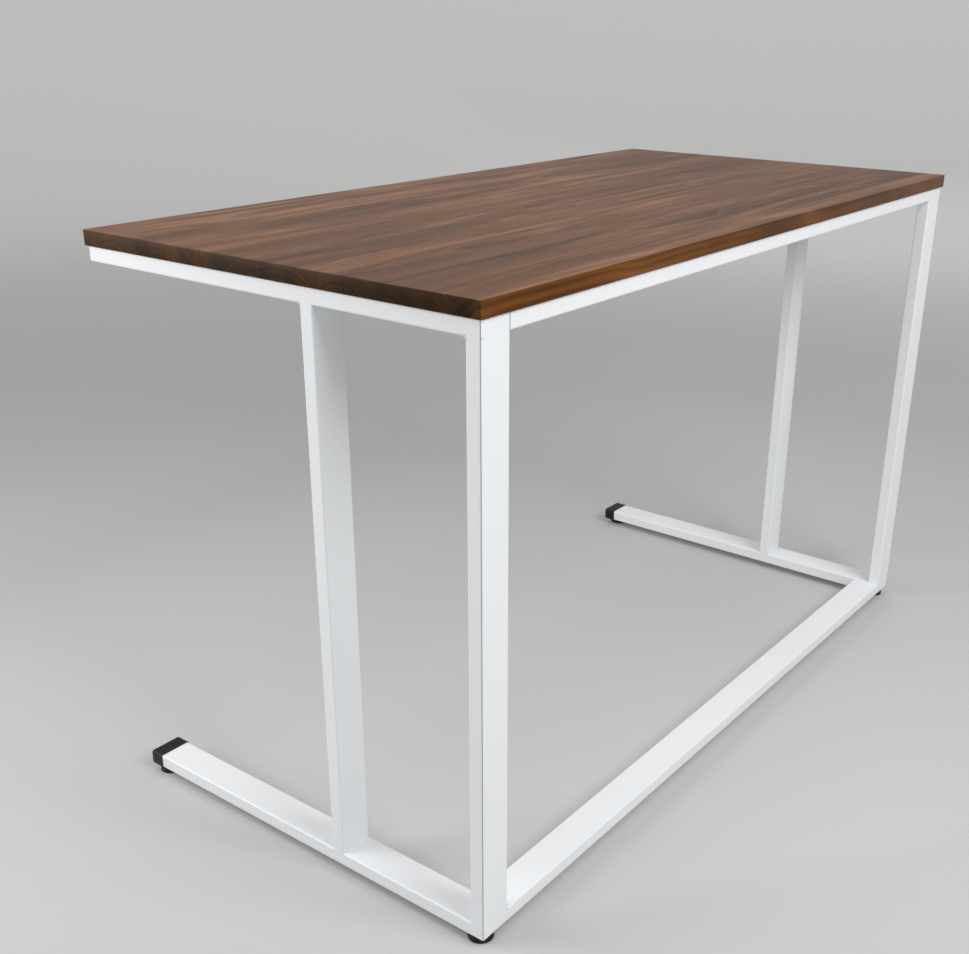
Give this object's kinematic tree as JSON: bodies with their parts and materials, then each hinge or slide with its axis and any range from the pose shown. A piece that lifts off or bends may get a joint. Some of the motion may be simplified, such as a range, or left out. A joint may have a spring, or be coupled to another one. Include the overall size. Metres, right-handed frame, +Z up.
{
  "type": "standing desk",
  "caption": "Standing-height desk: a rectangular walnut top on an open-fronted frame of flat white steel tube, with capped foot rails and screw-adjusted levelling feet.",
  "frame": {"origin": "centre of the footprint, on the floor under the desk", "axes": "+X along the desk to the right of a user who stands at the open front and faces the desk, -Y towards that user, +Z up"},
  "size_m": [1.6, 0.8, 1],
  "materials": {
    "walnut": "oiled walnut, low satin sheen, grain along the length",
    "white_powder_coat": "white powder coat, satin, very fine orange peel",
    "black_plastic": "moulded black plastic, matte",
    "zinc_steel": "zinc-plated steel, satin",
    "brass": "plain machined brass"
  },
  "bodies": {
    "root": {"back_bottom_rail": "white_powder_coat", "back_top_rail": "white_powder_coat", "desktop": "walnut", "desktop_inserts": "brass", "desktop_screws": "zinc_steel", "front_top_rail": "white_powder_coat", "left_back_bottom_spigot": "white_powder_coat", "left_back_post": "white_powder_coat", "left_back_top_spigot": "white_powder_coat", "left_end_plates": "white_powder_coat", "left_foot_cap": "black_plastic", "left_foot_rail": "white_powder_coat", "left_frame_welds": "white_powder_coat", "left_front_top_spigot": "white_powder_coat", "left_mid_post": "white_powder_coat", "left_top_rail": "white_powder_coat", "leveller_nuts": "zinc_steel", "rail_joint_screws": "zinc_steel", "right_back_bottom_spigot": "white_powder_coat", "right_back_post": "white_powder_coat", "right_back_top_spigot": "white_powder_coat", "right_end_plates": "white_powder_coat", "right_foot_cap": "black_plastic", "right_foot_rail": "white_powder_coat", "right_frame_welds": "white_powder_coat", "right_front_top_spigot": "white_powder_coat", "right_mid_post": "white_powder_coat", "right_top_rail": "white_powder_coat"},
    "right_back_pad": {"right_back_foot_pad": "black_plastic"},
    "right_back_stem": {"right_back_foot_stem": "zinc_steel"},
    "right_front_pad": {"right_front_foot_pad": "black_plastic"},
    "right_front_stem": {"right_front_foot_stem": "zinc_steel"},
    "left_back_pad": {"left_back_foot_pad": "black_plastic"},
    "left_back_stem": {"left_back_foot_stem": "zinc_steel"},
    "left_front_pad": {"left_front_foot_pad": "black_plastic"},
    "left_front_stem": {"left_front_foot_stem": "zinc_steel"}
  },
  "joints": [
    {"name": "right_back_foot_travel", "type": "slide", "parent": "root", "child": "right_back_pad", "axis": [0, 0, -1], "range_m": [0, 0.012]},
    {"name": "right_back_foot_turn", "type": "hinge", "parent": "right_back_pad", "child": "right_back_stem", "pos_m": [0.772, 0.372, 0], "axis": [0, 0, -1], "range_deg": [0, 2880]},
    {"name": "right_front_foot_travel", "type": "slide", "parent": "root", "child": "right_front_pad", "axis": [0, 0, -1], "range_m": [0, 0.012]},
    {"name": "right_front_foot_turn", "type": "hinge", "parent": "right_front_pad", "child": "right_front_stem", "pos_m": [0.772, -0.374, 0], "axis": [0, 0, -1], "range_deg": [0, 2880]},
    {"name": "left_back_foot_travel", "type": "slide", "parent": "root", "child": "left_back_pad", "axis": [0, 0, -1], "range_m": [0, 0.012]},
    {"name": "left_back_foot_turn", "type": "hinge", "parent": "left_back_pad", "child": "left_back_stem", "pos_m": [-0.772, 0.372, 0], "axis": [0, 0, -1], "range_deg": [0, 2880]},
    {"name": "left_front_foot_travel", "type": "slide", "parent": "root", "child": "left_front_pad", "axis": [0, 0, -1], "range_m": [0, 0.012]},
    {"name": "left_front_foot_turn", "type": "hinge", "parent": "left_front_pad", "child": "left_front_stem", "pos_m": [-0.772, -0.374, 0], "axis": [0, 0, -1], "range_deg": [0, 2880]}
  ],
  "couplings": [
    {"joint": "right_back_foot_turn", "follows": "right_back_foot_travel", "rad_per_m": 4188.8},
    {"joint": "right_front_foot_turn", "follows": "right_front_foot_travel", "rad_per_m": 4188.8},
    {"joint": "left_back_foot_turn", "follows": "left_back_foot_travel", "rad_per_m": 4188.8},
    {"joint": "left_front_foot_turn", "follows": "left_front_foot_travel", "rad_per_m": 4188.8}
  ]
}
